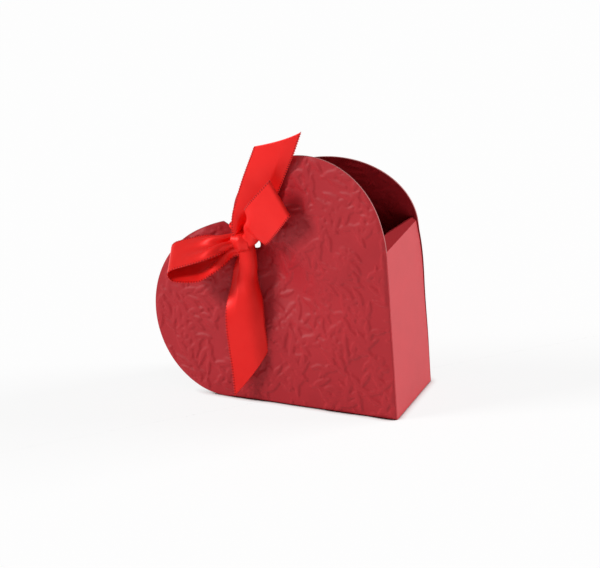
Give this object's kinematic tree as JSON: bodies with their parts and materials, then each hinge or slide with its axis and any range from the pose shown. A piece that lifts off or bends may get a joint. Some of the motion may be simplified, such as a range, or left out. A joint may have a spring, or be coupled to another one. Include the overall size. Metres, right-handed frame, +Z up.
{
  "type": "heart favour box",
  "caption": "Heart-shaped folded card favour box standing on one straight side, open along its lobes, tied at the cleft by a satin ribbon bow threaded through punched holes.",
  "frame": {"origin": "middle of the base panel's underside, where the box stands", "axes": "+X towards the tip of the heart, +Y from the bow's panel towards the back panel, +Z up"},
  "size_m": [0.0683, 0.0311, 0.0754],
  "materials": {
    "red_card": "matt pearlised card, embossed on the heart panels",
    "satin_ribbon": "satin weave with looped selvedges"
  },
  "bodies": {
    "box": {"front_heart_panel": "red_card", "back_heart_panel": "red_card", "base_panel": "red_card", "side_panel": "red_card", "side_glue_flap": "red_card", "tip_glue_flap": "red_card", "ribbon_tie": "satin_ribbon", "bow_knot": "satin_ribbon"},
    "lower_tail": {"lower_tail": "satin_ribbon"},
    "upper_tail": {"upper_tail": "satin_ribbon"},
    "left_loop": {"left_loop": "satin_ribbon"},
    "right_loop": {"right_loop": "satin_ribbon"}
  },
  "joints": [
    {"name": "lower_tail_lift", "type": "hinge", "parent": "box", "child": "lower_tail", "pos_m": [-0.01944, -0.00845, 0.03878], "axis": [-1, 0, 0], "range_deg": [0, 60]},
    {"name": "upper_tail_swing", "type": "hinge", "parent": "box", "child": "upper_tail", "pos_m": [-0.02086, -0.00751, 0.04428], "axis": [0, -1, 0], "range_deg": [0, 30]},
    {"name": "left_loop_lift", "type": "hinge", "parent": "box", "child": "left_loop", "pos_m": [-0.02346, -0.0098, 0.0408], "axis": [0, 0, 1], "range_deg": [0, 30]},
    {"name": "right_loop_lift", "type": "hinge", "parent": "box", "child": "right_loop", "pos_m": [-0.01846, -0.00995, 0.04185], "axis": [0.7691, 0, -0.6391], "range_deg": [0, 35]}
  ]
}
